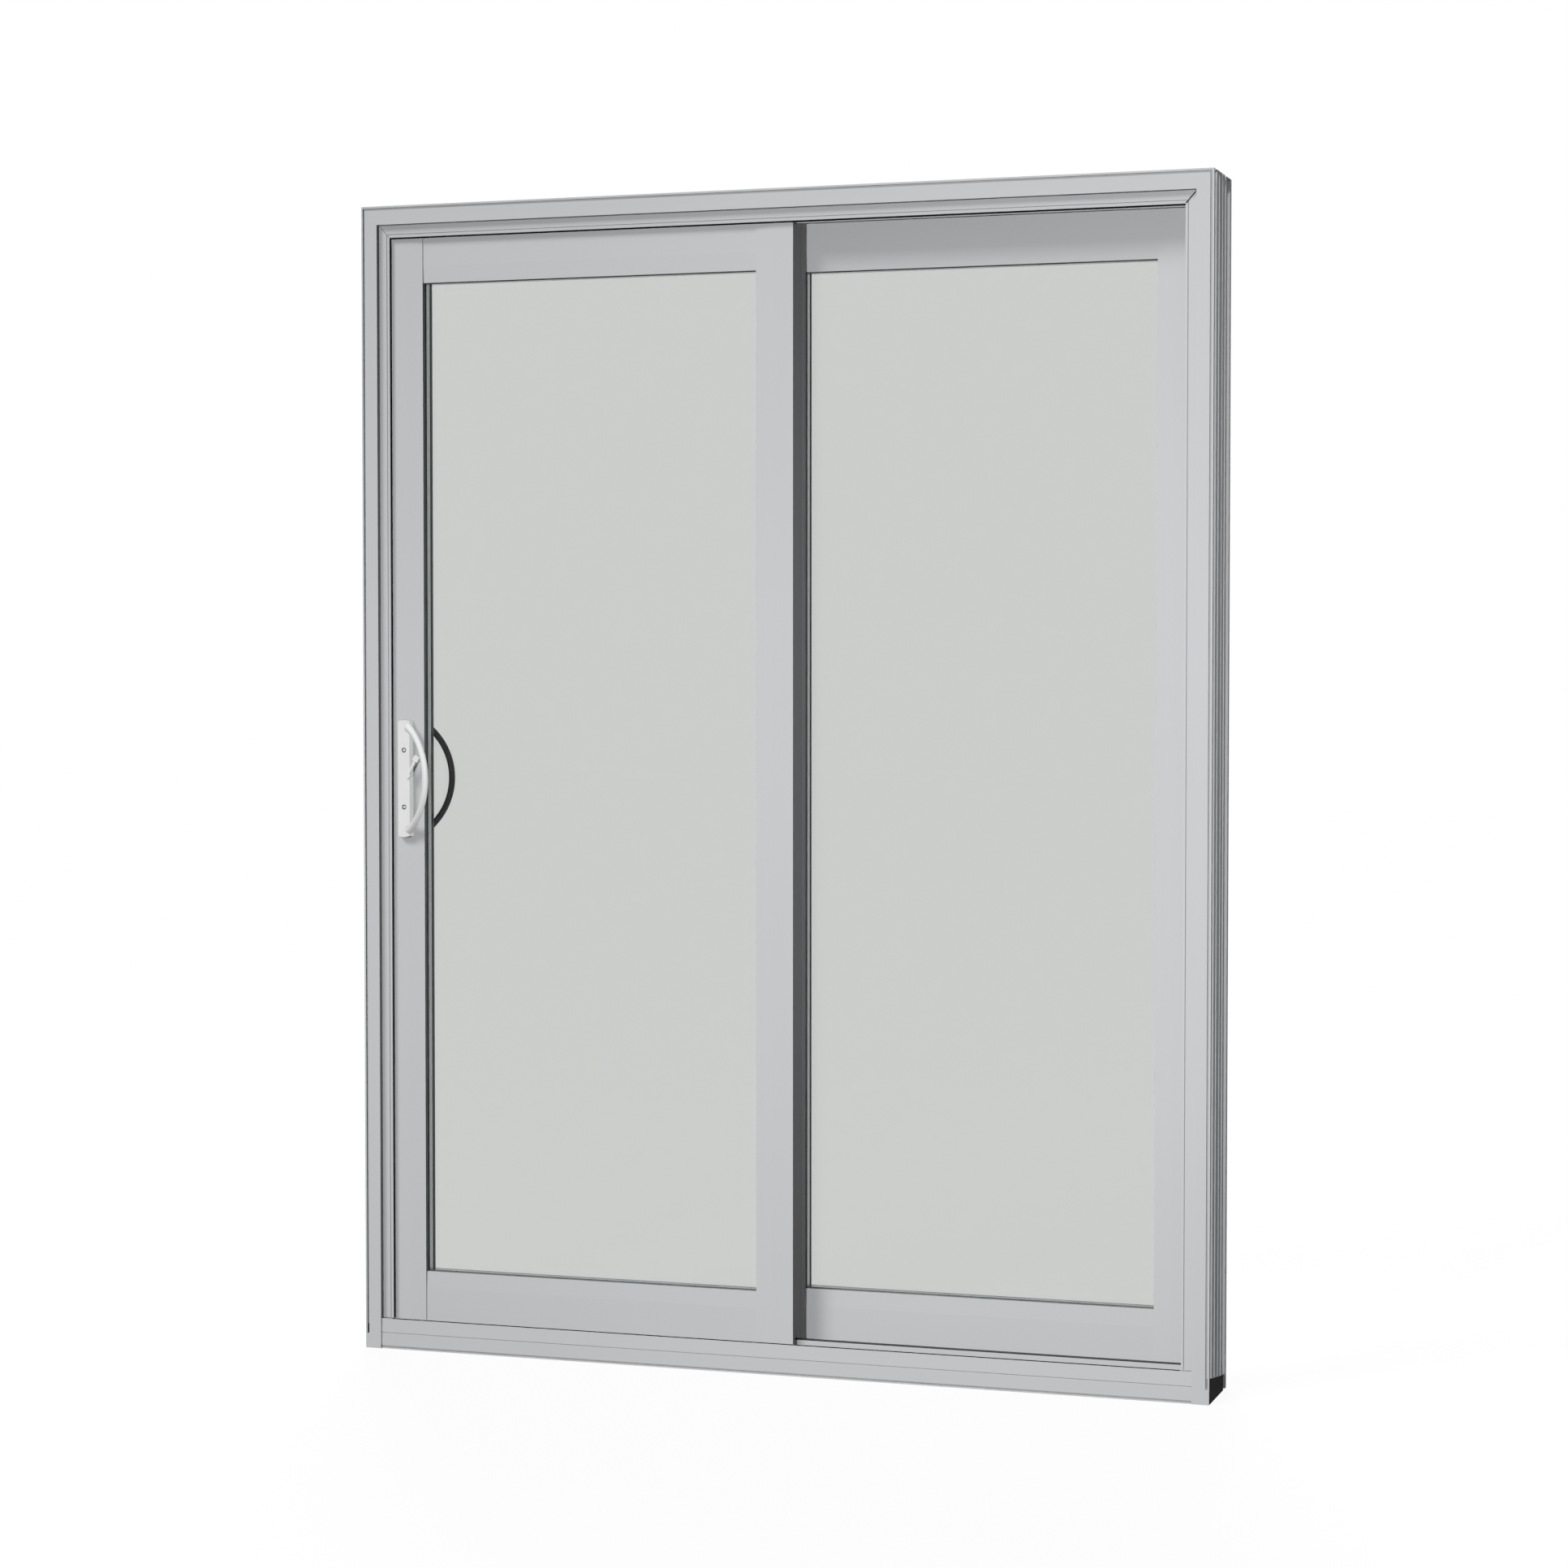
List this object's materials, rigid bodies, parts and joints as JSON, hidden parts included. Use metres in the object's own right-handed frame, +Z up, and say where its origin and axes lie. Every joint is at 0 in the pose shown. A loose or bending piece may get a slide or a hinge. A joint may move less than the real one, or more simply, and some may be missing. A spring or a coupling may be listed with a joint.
{
  "type": "glass sliding patio door",
  "caption": "Vinyl sliding patio door: mitred frame, fixed glazed panel, glazed panel that slides on a roller track, bowed pull handles and a thumb latch.",
  "frame": {"origin": "middle of the sill's underside, at mid width and mid depth of the frame", "axes": "+Z up, +X from the lock jamb to the fixed jamb (left to right seen from the room), +Y from the room to the weather side"},
  "size_m": [1.517, 0.1715, 2.019],
  "materials": {
    "white_vinyl": "satin",
    "clear_glass": "polished",
    "grey_spacer": "matt",
    "white_enamel": "satin",
    "black_enamel": "satin",
    "black_rubber": "matt",
    "plated_steel": "brushed"
  },
  "bodies": {
    "door_frame": {"head": "white_vinyl", "left_jamb": "white_vinyl", "right_jamb": "white_vinyl", "sill": "white_vinyl", "roller_track": "white_vinyl", "left_sill_seal": "black_rubber", "right_sill_seal": "black_rubber", "fixed_panel_retainer": "white_vinyl", "lock_keeper": "plated_steel", "interlock_stile": "white_vinyl", "fixed_jamb_stile": "white_vinyl", "fixed_bottom_rail": "white_vinyl", "fixed_top_rail": "white_vinyl", "fixed_inner_pane": "clear_glass", "fixed_outer_pane": "clear_glass", "fixed_glass_spacer": "grey_spacer"},
    "sliding_panel": {"lock_stile": "white_vinyl", "meeting_stile": "white_vinyl", "sliding_bottom_rail": "white_vinyl", "sliding_top_rail": "white_vinyl", "sliding_inner_pane": "clear_glass", "sliding_outer_pane": "clear_glass", "sliding_glass_spacer": "grey_spacer", "left_roller_housing": "plated_steel", "right_roller_housing": "plated_steel", "left_roller_wheel": "plated_steel", "right_roller_wheel": "plated_steel", "lock_faceplate": "plated_steel", "interior_handle": "white_enamel", "exterior_handle": "black_enamel"},
    "thumb_latch": {"thumb_latch": "white_enamel"}
  },
  "joints": [
    {"name": "panel_slide", "type": "slide", "parent": "door_frame", "child": "sliding_panel", "axis": [1, 0, 0], "range_m": [0, 0.585]},
    {"name": "latch_turn", "type": "hinge", "parent": "sliding_panel", "child": "thumb_latch", "pos_m": [-0.6755, -0.067, 1.0195], "axis": [0, 1, 0], "range_deg": [0, 120]}
  ]
}
